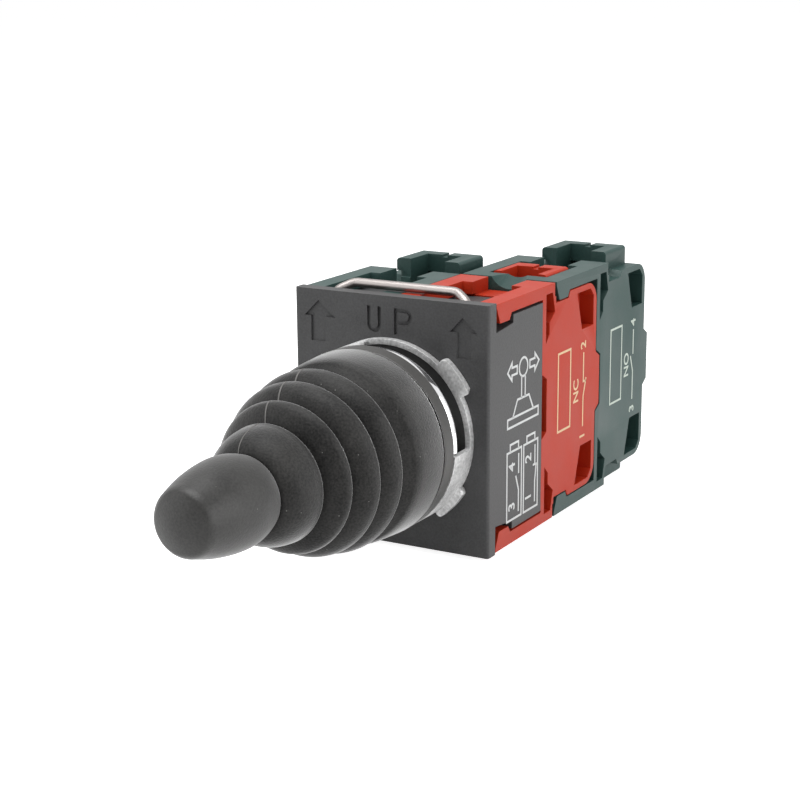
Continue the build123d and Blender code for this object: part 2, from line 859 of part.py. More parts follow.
def terminal_well():
    """Room for a terminal, its screw and the wire, open at the top."""
    inner = (-well_half_width, well_half_width)
    half_strip = strip_width / 2 + strip_gap
    above = half_height + guard_height + cut_past
    well = box_between(inner, (well_front, well_back), (well_floor, half_height + strip_gap))
    window = box_between(inner, (guard_front - cut_past, guard_back - guard_bar), (well_floor, above))
    screw_low = well_floor - screw_reach - seat_gap
    screw_way = rod_along_z(screw_radius + guide_gap, screw_low, well_floor + cut_past, 0, screw_y)
    strip_way = box_between(
        (-half_strip, half_strip),
        (well_front, chamber_back),
        (chamber_half_height - cut_past, well_floor + strip_gap),
    )
    return well + window + screw_way + strip_way


def side_pockets():
    """Bent slot and slanted window sunk in both side faces."""
    slot_low = half_height - slot_depth
    slot_high = half_height + slot_rise
    slot = [
        (slot_front, slot_low),
        (slot_front + slot_width, slot_low + slot_width),
        (slot_front + slot_width, half_height - slot_knee_low),
        (slot_back, half_height - slot_knee_high),
        (slot_top_back, slot_high),
        (slot_front, slot_high),
    ]
    pane_back = block_depth - pane_inset
    pane_high = half_height - pane_top
    pane_low = pane_high - pane_height
    pane = [
        (pane_front, pane_high),
        (pane_back - pane_corner, pane_high),
        (pane_back, pane_high - pane_corner),
        (pane_back, pane_low),
        (pane_front + pane_front_slant, pane_low),
    ]
    inner = half_block - pocket_depth
    core = box_between((-inner, inner), (-cut_past, block_depth + cut_past), (0, beam_top))
    return side_prism(slot, half_block + cut_past) + side_prism(pane, half_block + cut_past) - core


def plunger(window_back):
    """Sliding carrier with a window for the contact bridge, a nose and a tail for the next block."""
    half_width = plunger_width / 2
    half = plunger_height / 2
    carrier = box_between((-half_width, half_width), (carrier_front, carrier_back), (-half, half))
    core = rod_along_y(push_pin_radius, plunger_front, plunger_front + tier_pitch - contact_gap)
    window = box_between(
        (-window_half_width, window_half_width),
        (window_front, window_back),
        (-half - cut_past, half + cut_past),
    )
    return carrier + core - window


def contact_bridge(makes):
    """Sprung bar that joins the two fixed contacts."""
    front = make_bridge_front if makes else break_bridge_front
    half = bridge_width / 2
    bar = box_between((-half, half), (front, front + bridge_thickness), (-bridge_half, bridge_half))
    return fillet(bar.edges().filter_by(Axis.Y), bridge_round)


def contact_spring(makes):
    """Coil that holds the bridge against its stop."""
    if makes:
        span = (window_front + spring_gap, make_bridge_front - spring_gap)
    else:
        span = (break_bridge_front + bridge_thickness + spring_gap, break_window_back - spring_gap)
    return coil_spring(contact_spring_radius, contact_spring_wire, *span)


def return_spring():
    """Coil round the plunger's tail."""
    span = (carrier_back + spring_gap, chamber_back + spring_pocket - spring_gap)
    return coil_spring(return_spring_radius, return_spring_wire, *span)


def terminal_strips(makes):
    """Upper and lower fixed contact with its rivet and screw plate."""
    front = make_strip_front if makes else break_strip_front
    back = front + strip_thickness
    half = strip_width / 2
    half_plate_length = terminal_plate / 2
    plate_span = (min(screw_y - half_plate_length, front), max(screw_y + half_plate_length, back))
    leg = box_between((-half, half), (front, back), (strip_inner, strip_top))
    plate = box_between((-half, half), plate_span, (well_floor, strip_top))
    hole = rod_along_z(screw_radius + screw_gap, 0, strip_top + cut_past, 0, screw_y)
    rivet_span = (front - rivet_height, front) if makes else (back, back + rivet_height)
    rivet = rod_along_y(rivet_radius, *rivet_span, 0, rivet_reach)
    upper = leg + plate + rivet - hole
    return Compound(children=[upper, mirror(upper, about=Plane.XY)])


def clamp_plates():
    """Square clamp plate under each terminal screw."""
    half = clamp_size / 2
    high = clamp_low + clamp_thickness
    plate = box_between((-half, half), (screw_y - half, screw_y + half), (clamp_low, high))
    hole = rod_along_z(screw_radius + screw_gap, clamp_low - cut_past, high + cut_past, 0, screw_y)
    plate = plate - hole
    return Compound(children=[plate, mirror(plate, about=Plane.XY)])


def terminal_screws():
    """Slotted pan-head screw in each terminal."""
    head_top = head_low + screw_head_height
    head = rod_along_z(screw_head_radius, head_low, head_top, 0, screw_y)
    head = chamfer(head.edges().group_by(Axis.Z)[-1], screw_head_break)
    shank = rod_along_z(screw_radius, well_floor - screw_reach, head_low, 0, screw_y)
    slot_reach = screw_head_radius + cut_past
    slot = box_between(
        (-slot_reach, slot_reach),
        (screw_y - screw_slot / 2, screw_y + screw_slot / 2),
        (head_top - screw_slot_depth, head_top + cut_past),
    )
    screw = head + shank - slot
    return Compound(children=[screw, mirror(screw, about=Plane.XY)])


def in_block(shape, column, tier):
    """Moves a block's piece to its column, -1 left or 1 right, and its tier from the front."""
    return Pos(column * column_offset, block_front + tier * tier_pitch, adapter_rise) * shape


def block_pieces(name, column, tier, makes, stacked):
    """All pieces of one contact block, by node name."""
    window_back = make_window_back if makes else break_window_back
    pieces = {
        "housing": housing(tier == 0, stacked),
        "plunger": plunger(window_back),
        "bridge": contact_bridge(makes),
        "contact_spring": contact_spring(makes),
        "return_spring": return_spring(),
        "terminals": terminal_strips(makes),
        "clamps": clamp_plates(),
        "screws": terminal_screws(),
    }
    return {f"{name}_{piece}": in_block(shape, column, tier) for piece, shape in pieces.items()}


def all_pieces():
    """Every node of the joystick."""
    nodes = {
        "knob": knob(),
        "knob_insert": knob_insert(),
        "lever_rod": lever_rod(),
        "rocker": rocker(),
        "pivot_pin": pivot_pin(),
        "rubber_boot": rubber_boot(),
        "bezel": bezel(),
        "chrome_ring": chrome_ring(),
        "panel_gasket": panel_gasket(),
        "threaded_neck": threaded_neck(),
        "ring_nut": ring_nut(),
        "adapter": adapter_shell(),
        "pusher_guide": pusher_guide(),
        "guide_screws": guide_screws(),
        "locking_clip": locking_clip(),
        "pusher_left": pusher(-1),
        "pusher_right": pusher(1),
        "pusher_spring_left": pusher_spring(-1),
        "pusher_spring_right": pusher_spring(1),
    }
    nodes.update(block_pieces("left_front", -1, 0, True, False))
    nodes.update(block_pieces("right_front", 1, 0, False, True))
    nodes.update(block_pieces("right_rear", 1, 1, True, False))
    return nodes


os.makedirs("parts", exist_ok=True)
for node, shape in all_pieces().items():
    export_step(shape, f"parts/{node}.step")
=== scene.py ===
import bmesh
import bpy
import math
from mathutils import Matrix, Vector
from mathutils.geometry import interpolate_bezier


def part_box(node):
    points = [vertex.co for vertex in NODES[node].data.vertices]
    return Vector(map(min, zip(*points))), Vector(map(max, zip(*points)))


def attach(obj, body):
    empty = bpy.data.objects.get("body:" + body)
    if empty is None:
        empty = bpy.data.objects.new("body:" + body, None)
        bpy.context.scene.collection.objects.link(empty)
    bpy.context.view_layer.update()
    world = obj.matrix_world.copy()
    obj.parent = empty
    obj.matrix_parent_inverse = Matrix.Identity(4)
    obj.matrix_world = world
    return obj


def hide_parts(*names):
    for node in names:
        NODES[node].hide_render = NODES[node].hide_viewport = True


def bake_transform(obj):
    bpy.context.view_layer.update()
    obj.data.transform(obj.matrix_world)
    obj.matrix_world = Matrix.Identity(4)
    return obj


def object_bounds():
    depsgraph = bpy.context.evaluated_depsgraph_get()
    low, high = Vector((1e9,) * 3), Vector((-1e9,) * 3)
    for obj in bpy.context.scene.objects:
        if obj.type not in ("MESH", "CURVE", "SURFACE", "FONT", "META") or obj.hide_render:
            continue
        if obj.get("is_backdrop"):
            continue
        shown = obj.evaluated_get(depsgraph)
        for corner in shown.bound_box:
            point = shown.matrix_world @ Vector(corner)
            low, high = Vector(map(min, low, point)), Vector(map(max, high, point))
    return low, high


# Looks of a two-way industrial joystick with its adapter and contact blocks.
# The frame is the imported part's: metres, +Y to the rear, +Z up, origin at the panel seat.

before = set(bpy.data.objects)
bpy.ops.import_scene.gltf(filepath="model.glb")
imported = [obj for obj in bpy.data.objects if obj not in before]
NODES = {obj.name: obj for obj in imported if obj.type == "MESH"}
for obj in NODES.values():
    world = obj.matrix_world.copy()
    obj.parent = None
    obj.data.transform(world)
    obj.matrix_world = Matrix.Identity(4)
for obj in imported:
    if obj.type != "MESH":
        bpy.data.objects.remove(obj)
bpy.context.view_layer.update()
MM = 0.001

# Camera, solved from the photograph's front plate and blocks
CAMERA_PLACE = Vector((138.35, -232.90, 73.81)) * MM
CAMERA_YAW = 30.004
CAMERA_PITCH = 14.137
CAMERA_ROLL = -0.431
CAMERA_LENS = 81.21
CAMERA_NEAR = 0.01
CAMERA_FAR = 20.0
SENSOR_WIDTH = 36.0

# Place of the adapter's plate, and fineness of the meshes
PLATE_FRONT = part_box("adapter")[0].y
PLATE_MIDDLE = (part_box("adapter")[0].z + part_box("adapter")[1].z) / 2
SPIN_STEPS = 144
MERGE = 0.002 * MM
FLAT_WITHIN = 0.4
SHARP_ABOVE = 35


# Small helpers

def mm(*values):
    """A vector from millimetres."""
    return Vector(values) * MM


def keep_mesh(name, shape, material):
    """Turns a bmesh into a linked object at the origin, with its material in its one material slot."""
    mesh = bpy.data.meshes.new(name)
    shape.to_mesh(mesh)
    shape.free()
    mesh.materials.clear()
    mesh.materials.append(material)
    piece = bpy.data.objects.new(name, mesh)
    bpy.context.scene.collection.objects.link(piece)
    return piece


def shade(piece, angle=SHARP_ABOVE):
    """Smooth shading with edges kept sharp above an angle in degrees."""
    for face in piece.data.polygons:
        face.use_smooth = True
    piece.data.set_sharp_from_angle(angle=math.radians(angle))


def soften(piece, width):
    """A small bevel on every sharp edge."""
    bevel = piece.modifiers.new("soft edges", "BEVEL")
    bevel.width = width
    bevel.segments = 2
    bevel.limit_method = "ANGLE"
    bevel.angle_limit = math.radians(SHARP_ABOVE)
    bevel.harden_normals = True
    bevel.use_clamp_overlap = True


def flatten(piece):
    """Keeps broad faces flat beside their softened edges."""
    weighted = piece.modifiers.new("flat faces", "WEIGHTED_NORMAL")
    weighted.mode = "FACE_AREA"
    weighted.weight = 100
    weighted.keep_sharp = True


def merged_node(node, joined=True):
    """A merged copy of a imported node's mesh, with its flat faces joined where asked."""
    shape = bmesh.new()
    shape.from_mesh(NODES[node].data)
    bmesh.ops.remove_doubles(shape, verts=shape.verts[:], dist=MERGE)
    if joined:
        bmesh.ops.dissolve_limit(
            shape, angle_limit=math.radians(FLAT_WITHIN), verts=shape.verts[:], edges=shape.edges[:]
        )
    return shape


def dressed_node(node, name, body, material, width):
    """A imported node's own shape with soft edges, in place of the node."""
    piece = keep_mesh(name, merged_node(node), material)
    shade(piece)
    soften(piece, width)
    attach(piece, body)
    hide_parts(node)
    return piece


def spun(profile, angle, steps, closed=True):
    """A bmesh turned about the head's axis from (radius, y) points."""
    shape = bmesh.new()
    line = [shape.verts.new((radius, y, 0)) for radius, y in profile]
    pairs = zip(line, line[1:] + line[:1]) if closed else zip(line, line[1:])
    edges = [shape.edges.new(pair) for pair in pairs]
    bmesh.ops.spin(
        shape,
        geom=line + edges,
        cent=(0, 0, 0),
        axis=(0, 1, 0),
        angle=angle,
        steps=steps,
        use_merge=angle == math.tau,
        use_duplicate=False,
    )
    bmesh.ops.remove_doubles(shape, verts=shape.verts[:], dist=MERGE)
    bmesh.ops.recalc_face_normals(shape, faces=shape.faces[:])
    return shape


def bend_between(start, handle_a, handle_b, end, count):
    """Points of a bezier stretch in (radius, y), without its last point."""
    curve = interpolate_bezier(
        (*start, 0), (*handle_a, 0), (*handle_b, 0), (*end, 0), count + 1
    )
    return [(point.x, point.y) for point in curve[:-1]]


# Shader groups

PATCH_SCALE = 160.0
SPECK_RARITY = 0.82


def group_shell(name, inputs, outputs):
    """A shader node group with its sockets, and its input and output nodes."""
    group = bpy.data.node_groups.new(name, "ShaderNodeTree")
    for label, kind, default in inputs:
        socket = group.interface.new_socket(name=label, in_out="INPUT", socket_type=kind)
        socket.default_value = default
    for label, kind in outputs:
        group.interface.new_socket(name=label, in_out="OUTPUT", socket_type=kind)
    entry = group.nodes.new("NodeGroupInput")
    leave = group.nodes.new("NodeGroupOutput")
    return group, entry, leave


def moulding_grain():
    """Fine grain of moulded plastic and rubber: a colour, a roughness and a height."""
    group, entry, leave = group_shell(
        "moulding grain",
        [
            ("Base", "NodeSocketColor", (0.1, 0.1, 0.1, 1)),
            ("Patch contrast", "NodeSocketFloat", 0.15),
            ("Grain scale", "NodeSocketFloat", 3000.0),
            ("Rough low", "NodeSocketFloat", 0.4),
            ("Rough high", "NodeSocketFloat", 0.55),
        ],
        [
            ("Color", "NodeSocketColor"),
            ("Roughness", "NodeSocketFloat"),
            ("Height", "NodeSocketFloat"),
        ],
    )
    nodes, links = group.nodes, group.links
    place = nodes.new("ShaderNodeTexCoord")
    patches = nodes.new("ShaderNodeTexNoise")
    patches.inputs["Scale"].default_value = PATCH_SCALE
    patches.inputs["Detail"].default_value = 3.0
    grain = nodes.new("ShaderNodeTexNoise")
    grain.inputs["Detail"].default_value = 2.0
    links.new(place.outputs["Object"], patches.inputs["Vector"])
    links.new(place.outputs["Object"], grain.inputs["Vector"])
    links.new(entry.outputs["Grain scale"], grain.inputs["Scale"])
    spread = nodes.new("ShaderNodeMapRange")
    spread.inputs["From Min"].default_value = 0.3
    spread.inputs["From Max"].default_value = 0.7
    links.new(patches.outputs["Fac"], spread.inputs["Value"])
    links.new(entry.outputs["Rough low"], spread.inputs["To Min"])
    links.new(entry.outputs["Rough high"], spread.inputs["To Max"])
    both = nodes.new("ShaderNodeMath")
    both.operation = "ADD"
    links.new(patches.outputs["Fac"], both.inputs[0])
    links.new(grain.outputs["Fac"], both.inputs[1])
    shift = nodes.new("ShaderNodeMath")
    shift.operation = "SUBTRACT"
    shift.inputs[1].default_value = 1.0
    links.new(both.outputs["Value"], shift.inputs[0])
    amount = nodes.new("ShaderNodeMath")
    amount.operation = "MULTIPLY_ADD"
    amount.inputs[2].default_value = 1.0
    links.new(shift.outputs["Value"], amount.inputs[0])
    links.new(entry.outputs["Patch contrast"], amount.inputs[1])
    tint = nodes.new("ShaderNodeHueSaturation")
    links.new(entry.outputs["Base"], tint.inputs["Color"])
    links.new(amount.outputs["Value"], tint.inputs["Value"])
    links.new(tint.outputs["Color"], leave.inputs["Color"])
    links.new(spread.outputs["Result"], leave.inputs["Roughness"])
    links.new(grain.outputs["Fac"], leave.inputs["Height"])
    return group


def dust_specks():
    """Sparse pale specks of dust over a colour."""
    group, entry, leave = group_shell(
        "dust specks",
        [
            ("Color", "NodeSocketColor", (0.1, 0.1, 0.1, 1)),
            ("Dust", "NodeSocketColor", (0.4, 0.4, 0.38, 1)),
            ("Speck scale", "NodeSocketFloat", 900.0),
            ("Threshold", "NodeSocketFloat", 0.08),
            ("Amount", "NodeSocketFloat", 0.5),
        ],
        [("Color", "NodeSocketColor")],
    )
    nodes, links = group.nodes, group.links
    place = nodes.new("ShaderNodeTexCoord")
    cells = nodes.new("ShaderNodeTexVoronoi")
    links.new(place.outputs["Object"], cells.inputs["Vector"])
    links.new(entry.outputs["Speck scale"], cells.inputs["Scale"])
    near = nodes.new("ShaderNodeMath")
    near.operation = "LESS_THAN"
    links.new(cells.outputs["Distance"], near.inputs[0])
    links.new(entry.outputs["Threshold"], near.inputs[1])
    split = nodes.new("ShaderNodeSeparateColor")
    links.new(cells.outputs["Color"], split.inputs["Color"])
    rare = nodes.new("ShaderNodeMath")
    rare.operation = "GREATER_THAN"
    rare.inputs[1].default_value = SPECK_RARITY
    links.new(split.outputs["Red"], rare.inputs[0])
    picked = nodes.new("ShaderNodeMath")
    picked.operation = "MULTIPLY"
    links.new(near.outputs["Value"], picked.inputs[0])
    links.new(rare.outputs["Value"], picked.inputs[1])
    share = nodes.new("ShaderNodeMath")
    share.operation = "MULTIPLY"
    links.new(picked.outputs["Value"], share.inputs[0])
    links.new(entry.outputs["Amount"], share.inputs[1])
    mix = nodes.new("ShaderNodeMix")
    mix.data_type = "RGBA"
    links.new(share.outputs["Value"], mix.inputs["Factor"])
    links.new(entry.outputs["Color"], mix.inputs["A"])
    links.new(entry.outputs["Dust"], mix.inputs["B"])
    links.new(mix.outputs["Result"], leave.inputs["Color"])
    return group


GRAIN = moulding_grain()
SPECKS = dust_specks()


# Materials: colour, patch contrast, grain scale, lowest and highest roughness, bump strength

SHEEN_ROUGH = 0.38


def moulded(
    name, color, contrast, grain, rough, bump, dust=0.0, specular=0.5, relief=0.02, sheen=0.0
):
    """A moulded plastic or rubber with grain in colour and roughness, and relief in millimetres."""
    material = bpy.data.materials.new(name)
    material.use_nodes = True
    nodes, links = material.node_tree.nodes, material.node_tree.links
    surface = nodes["Principled BSDF"]
    pattern = nodes.new("ShaderNodeGroup")
    pattern.node_tree = GRAIN
    pattern.inputs["Base"].default_value = (*color, 1)
    pattern.inputs["Patch contrast"].default_value = contrast
    pattern.inputs["Grain scale"].default_value = grain
    pattern.inputs["Rough low"].default_value = rough[0]
    pattern.inputs["Rough high"].default_value = rough[1]
    ripple = nodes.new("ShaderNodeBump")
    ripple.inputs["Strength"].default_value = bump
    ripple.inputs["Distance"].default_value = relief * MM
    links.new(pattern.outputs["Height"], ripple.inputs["Height"])
    links.new(ripple.outputs["Normal"], surface.inputs["Normal"])
    links.new(pattern.outputs["Roughness"], surface.inputs["Roughness"])
    if dust:
        specks = nodes.new("ShaderNodeGroup")
        specks.node_tree = SPECKS
        specks.inputs["Amount"].default_value = dust
        links.new(pattern.outputs["Color"], specks.inputs["Color"])
        links.new(specks.outputs["Color"], surface.inputs["Base Color"])
    else:
        links.new(pattern.outputs["Color"], surface.inputs["Base Color"])
    surface.inputs["Specular IOR Level"].default_value = specular
    surface.inputs["Sheen Weight"].default_value = sheen
    surface.inputs["Sheen Roughness"].default_value = SHEEN_ROUGH
    return material


def metal(name, color, rough, bump, grain=2500.0, contrast=0.06, relief=0.02, metallic=1.0):
    """A plain metal with a slight grain."""
    material = moulded(name, color, contrast, grain, rough, bump, relief=relief)
    material.node_tree.nodes["Principled BSDF"].inputs["Metallic"].default_value = metallic
    return material


# Finishes

KNOB_BLACK = moulded(
    "knob black", (0.024, 0.0235, 0.0225), 1.4, 3200.0, (0.40, 0.48), 0.8,
    dust=0.25, specular=0.28, relief=0.04, sheen=0.4,
)
BOOT_RUBBER = moulded(
    "boot rubber", (0.014, 0.0136, 0.013), 3.4, 3200.0, (0.46, 0.56), 0.9,
    dust=0.35, specular=0.14, relief=0.05, sheen=1.0,
)
# Pale seam colour: a painted highlight along the mould line's ridge.
SEAM_PAINTED_HIGHLIGHT = moulded(
    "seam rubber with painted highlight", (0.16, 0.155, 0.15), 0.3, 2600.0, (0.5, 0.6), 0.3, specular=0.25
)
RIM_BLACK = moulded(
    "rim black", (0.044, 0.043, 0.041), 0.5, 3000.0, (0.4, 0.46), 0.3, specular=0.3, sheen=0.3
)
GASKET_BLACK = moulded("gasket black", (0.012, 0.012, 0.012), 0.1, 2500.0, (0.7, 0.8), 0.2)
PLATE_CHARCOAL = moulded(
    "plate charcoal", (0.052, 0.052, 0.053), 0.6, 3000.0, (0.46, 0.54), 0.6,
    specular=0.25, relief=0.05,
)
GREEN_MOULDING = moulded(
    "green moulding", (0.020, 0.048, 0.043), 0.35, 3000.0, (0.42, 0.5), 0.4, specular=0.28
)
RED_MOULDING = moulded(
    "red moulding", (0.38, 0.024, 0.006), 0.15, 3000.0, (0.44, 0.52), 0.4, specular=0.2
)
SLIDE_WHITE = moulded("slide white", (0.72, 0.71, 0.67), 0.05, 3000.0, (0.35, 0.45), 0.1)
PRINT_PALE = moulded("print pale grey", (0.56, 0.57, 0.57), 0.2, 4000.0, (0.5, 0.6), 0.1)
PRINT_CREAM = moulded("print cream", (0.62, 0.46, 0.27), 0.25, 4000.0, (0.5, 0.6), 0.1)
PRINT_MINT = moulded("print pale green", (0.46, 0.52, 0.46), 0.2, 4000.0, (0.5, 0.6), 0.1)
CHROME = metal("chrome", (0.83, 0.83, 0.84), (0.05, 0.08), 0.0)
ZINC = metal(
    "die-cast zinc", (0.53, 0.53, 0.53), (0.50, 0.62), 0.6,
    grain=2200.0, contrast=1.1, relief=0.05, metallic=0.55,
)
# Dark zinc that paints the shade on the nut's recess floor.
ZINC_PAINTED_SHADE = metal(
    "zinc with painted shade", (0.08, 0.08, 0.08), (0.6, 0.7), 0.6,
    grain=3000.0, contrast=0.3, metallic=0.55,
)
TURNED_STEEL = metal("turned steel", (0.60, 0.60, 0.61), (0.25, 0.32), 0.1)
CLIP_STEEL = metal("clip steel", (0.30, 0.275, 0.265), (0.38, 0.46), 0.15)
SPRING_STEEL = metal("spring steel", (0.52, 0.52, 0.54), (0.28, 0.35), 0.1)
BRASS = metal("turned brass", (0.74, 0.56, 0.28), (0.25, 0.32), 0.1)
CONTACT_BRASS = metal("contact brass", (0.72, 0.56, 0.34), (0.28, 0.35), 0.1)


# The lever

KNOB_RADII = (6.0 * MM, 6.8 * MM, 6.25 * MM, 4.8 * MM)
KNOB_WAIST = 4.4 * MM
KNOB_CAP = 1.4 * MM
KNOB_ROUND = 0.6 * MM
KNOB_EDGE = 0.2 * MM
KNOB_SHARP = 30


def knob():
    """Tapered grip, fullest near its base, with a soft edge round its domed end."""
    low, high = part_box("knob")
    base, waist, middle, end = KNOB_RADII
    back = high.y
    cap = low.y + KNOB_CAP
    half_way = (back - KNOB_WAIST + cap) / 2
    fullest = (waist, back - KNOB_WAIST)
    half = (middle, half_way)
    rim = (end + 0.26 * MM, cap + KNOB_ROUND)
    dome = (end - KNOB_ROUND, cap - 0.52 * MM)
    profile = [(0, back), (base - KNOB_EDGE, back)]
    profile += bend_between(
        (base, back - KNOB_EDGE),
        (base + 0.42 * MM, back - 1.3 * MM),
        (waist, back - 2.6 * MM),
        fullest,
        12,
    )
    profile += bend_between(
        fullest, (waist, back - 6.0 * MM), (middle + 0.30 * MM, half_way + 1.6 * MM), half, 10
    )
    profile += bend_between(
        half,
        (middle - 0.34 * MM, half_way - 1.8 * MM),
        (end + 0.66 * MM, cap + 2.0 * MM),
        rim,
        12,
    )
    profile += bend_between(
        rim, (end + 0.06 * MM, cap + 0.1 * MM), (end - 0.1 * MM, cap - 0.22 * MM), dome, 10
    )
    profile += bend_between(
        dome, (end - 2.0 * MM, cap - 1.05 * MM), (1.5 * MM, low.y), (0, low.y), 14
    )
    profile.append((0, low.y))
    piece = keep_mesh("knob_grip", spun(profile, math.tau, SPIN_STEPS), KNOB_BLACK)
    shade(piece, KNOB_SHARP)
    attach(piece, "lever")
    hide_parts("knob")


# The boot

BOOT_FOLDS = [(8.9 * MM, 0.745), (11.35 * MM, 0.585), (13.15 * MM, 0.385), (14.05 * MM, 0.185)]
BOOT_TIP_RADIUS = 6.0 * MM
BOOT_WALL = 0.8 * MM
BOOT_SHARP = 50
FOLD_DEPTH = 3.6 * MM
FOLD_RETURN = 0.9 * MM
SHOULDER_RADIUS = 13.95 * MM
SHOULDER_LEAD = 0.35 * MM
SKIRT_LENGTH = 7.0 * MM
SKIRT_RADIUS = 14.50 * MM
SKIRT_START = 5.6 * MM
RIM_POINTS = 8
GRIP_RADIUS = 13.12 * MM
GRIP_DEPTH = 5.8 * MM
ROD_HOLE = 3.2 * MM
SEAM_AZIMUTH = 101.0
SEAM_WIDTH = 1.0
SEAM_LIFT = 0.05 * MM
SEAM_THICKNESS = 0.12 * MM
SEAM_SHARP = 40


def fold_crests():
    """Each fold's crest as (radius, y), from the tip to the skirt."""
    low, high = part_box("rubber_boot")
    shoulder = high.y - SKIRT_LENGTH
    return [(radius, shoulder + share * (low.y - shoulder)) for radius, share in BOOT_FOLDS]


def boot_folds():
    """Outer line of the bellows: a full front to each fold and a deep gap behind its lip."""
    low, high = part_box("rubber_boot")
    start = (BOOT_TIP_RADIUS, low.y)
    points = [(BOOT_TIP_RADIUS - 0.3 * MM, low.y)]
    for radius, y in fold_crests():
        lead = (radius - 0.05 * MM, y - 0.40 * MM)
        rise = lead[0] - start[0]
        run = lead[1] - start[1]
        points += bend_between(
            start,
            (start[0] + 0.56 * rise, start[1] + 0.10 * run),
            (start[0] + 0.97 * rise, start[1] + 0.50 * run),
            lead,
            14,
        )
        lip = (radius - 0.36 * MM, y + 0.24 * MM)
        points += bend_between(
            lead,
            (radius + 0.05 * MM, y - 0.08 * MM),
            (radius + 0.02 * MM, y + 0.20 * MM),
            lip,
            9,
        )
        valley = (radius - FOLD_DEPTH, y + FOLD_RETURN)
        points += bend_between(
            lip,
            (radius - 0.9 * MM, y + 0.28 * MM),
            (valley[0] + 0.2 * MM, valley[1] - 0.5 * MM),
            valley,
            8,
        )
        start = valley
    return points + [start]


def skirt_line():
    """Outer line of the boot from the last valley over its shoulder to the rim."""
    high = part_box("rubber_boot")[1]
    start = (BOOT_FOLDS[-1][0] - FOLD_DEPTH, fold_crests()[-1][1] + FOLD_RETURN)
    shoulder = (SHOULDER_RADIUS, high.y - SKIRT_LENGTH - SHOULDER_LEAD)
    skirt = (SKIRT_RADIUS, high.y - SKIRT_START)
    points = bend_between(
        start,
        (start[0] + 1.2 * MM, start[1] + 0.6 * MM),
        (shoulder[0] - 0.5 * MM, shoulder[1] - 0.4 * MM),
        shoulder,
        14,
    )[1:]
    points += bend_between(
        shoulder,
        (shoulder[0] + 0.26 * MM, shoulder[1] + 0.22 * MM),
        (skirt[0] - 0.05 * MM, skirt[1] - 0.7 * MM),
        skirt,
        8,
    )
    return points + [
        skirt,
        (14.84 * MM, high.y - 0.52 * MM),
        (14.72 * MM, high.y - 0.22 * MM),
        (14.42 * MM, high.y - 0.10 * MM),
    ]


def boot():
    """Rubber bellows from the rim to the knob; its inner wall follows all but the rim's points."""
    low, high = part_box("rubber_boot")
    outer = boot_folds() + skirt_line()
    folds = outer[1:-RIM_POINTS]
    inner = [(GRIP_RADIUS, high.y - 0.06 * MM), (GRIP_RADIUS, high.y - GRIP_DEPTH)]
    inner += [(radius - BOOT_WALL, y + 0.1 * MM) for radius, y in reversed(folds)]
    inner += [(ROD_HOLE, low.y + BOOT_WALL), (ROD_HOLE, low.y)]
    piece = keep_mesh("boot", spun(outer + inner, math.tau, SPIN_STEPS), BOOT_RUBBER)
    shade(piece, BOOT_SHARP)
    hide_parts("rubber_boot")
    bend_with_lever(piece)


def bend_with_lever(piece):
    """Fixes a rubber piece's place into its mesh."""
    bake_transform(piece)


def boot_seam():
    """Thin mould line that crosses every fold near the top, pale to paint the highlight on its ridge.
    """
    line = [(radius + SEAM_LIFT, y - SEAM_LIFT) for radius, y in boot_folds()]
    shape = spun(line, math.radians(SEAM_WIDTH), 1, closed=False)
    bmesh.ops.solidify(shape, geom=shape.faces[:], thickness=SEAM_THICKNESS)
    bmesh.ops.rotate(
        shape,
        cent=(0, 0, 0),
        matrix=Matrix.Rotation(-math.radians(SEAM_AZIMUTH), 3, "Y"),
        verts=shape.verts[:],
    )
    bmesh.ops.recalc_face_normals(shape, faces=shape.faces[:])
    # Its pale colour is a painted highlight on the ridge.
    piece = keep_mesh("boot_seam", shape, SEAM_PAINTED_HIGHLIGHT)
    shade(piece, SEAM_SHARP)
    bend_with_lever(piece)


# The head, the adapter and the blocks: angles in degrees, the tab's corner in radians

CHROME_BORE = 11.03 * MM
CHROME_STEP = 13.78 * MM
CHROME_SHARP = 28
SECTOR_STEPS = 54
KEY_START = 105.0
KEY_SPAN = 72.0
TAB_REACH = 15.3 * MM
TAB_ROUND = 0.7 * MM
TAB_CORNER = 0.8
NUT_FLOOR = 0.7 * MM
NUT_EDGE = 0.12 * MM


def from_axis(point):
    """Distance from the head's axis."""
    return math.hypot(point.x, point.z)


def chrome_trim():
    """Chrome ring that widens to the rear, with a keyway for each dog of the nut."""
    low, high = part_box("chrome_ring")
    inner = [
        (CHROME_BORE, low.y),
        (CHROME_STEP, low.y),
        (CHROME_STEP, high.y),
        (CHROME_BORE, high.y),
    ]
    shape = spun(inner, math.tau, SPIN_STEPS)
    outer = [
        (CHROME_STEP, low.y),
        (13.95 * MM, low.y),
        (14.22 * MM, low.y + 0.75 * MM),
        (14.38 * MM, high.y - 0.35 * MM),
        (14.32 * MM, high.y - 0.10 * MM),
        (14.12 * MM, high.y),
        (CHROME_STEP, high.y),
    ]
    span = 180 - KEY_SPAN
    for turn in (KEY_START + KEY_SPAN, KEY_START + KEY_SPAN + 180):
        sector = spun(outer, math.radians(span), SECTOR_STEPS)
        bmesh.ops.holes_fill(sector, edges=[edge for edge in sector.edges if edge.is_boundary])
        place_sector(sector, turn, span)
        part = bpy.data.meshes.new("sector")
        sector.to_mesh(part)
        sector.free()
        shape.from_mesh(part)
        bpy.data.meshes.remove(part)
    bmesh.ops.recalc_face_normals(shape, faces=shape.faces[:])
    piece = keep_mesh("chrome_trim", shape, CHROME)
    shade(piece, CHROME_SHARP)
    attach(piece, "housing")
    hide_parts("chrome_ring")


def place_sector(sector, start, span):
    """Turns a sector about the head's axis until it begins at an azimuth in degrees."""
    across = math.atan2(sum(v.co.z for v in sector.verts), sum(v.co.x for v in sector.verts))
    turn = math.radians(start + span / 2) - across
    bmesh.ops.rotate(
        sector, cent=(0, 0, 0), matrix=Matrix.Rotation(-turn, 3, "Y"), verts=sector.verts[:]
    )


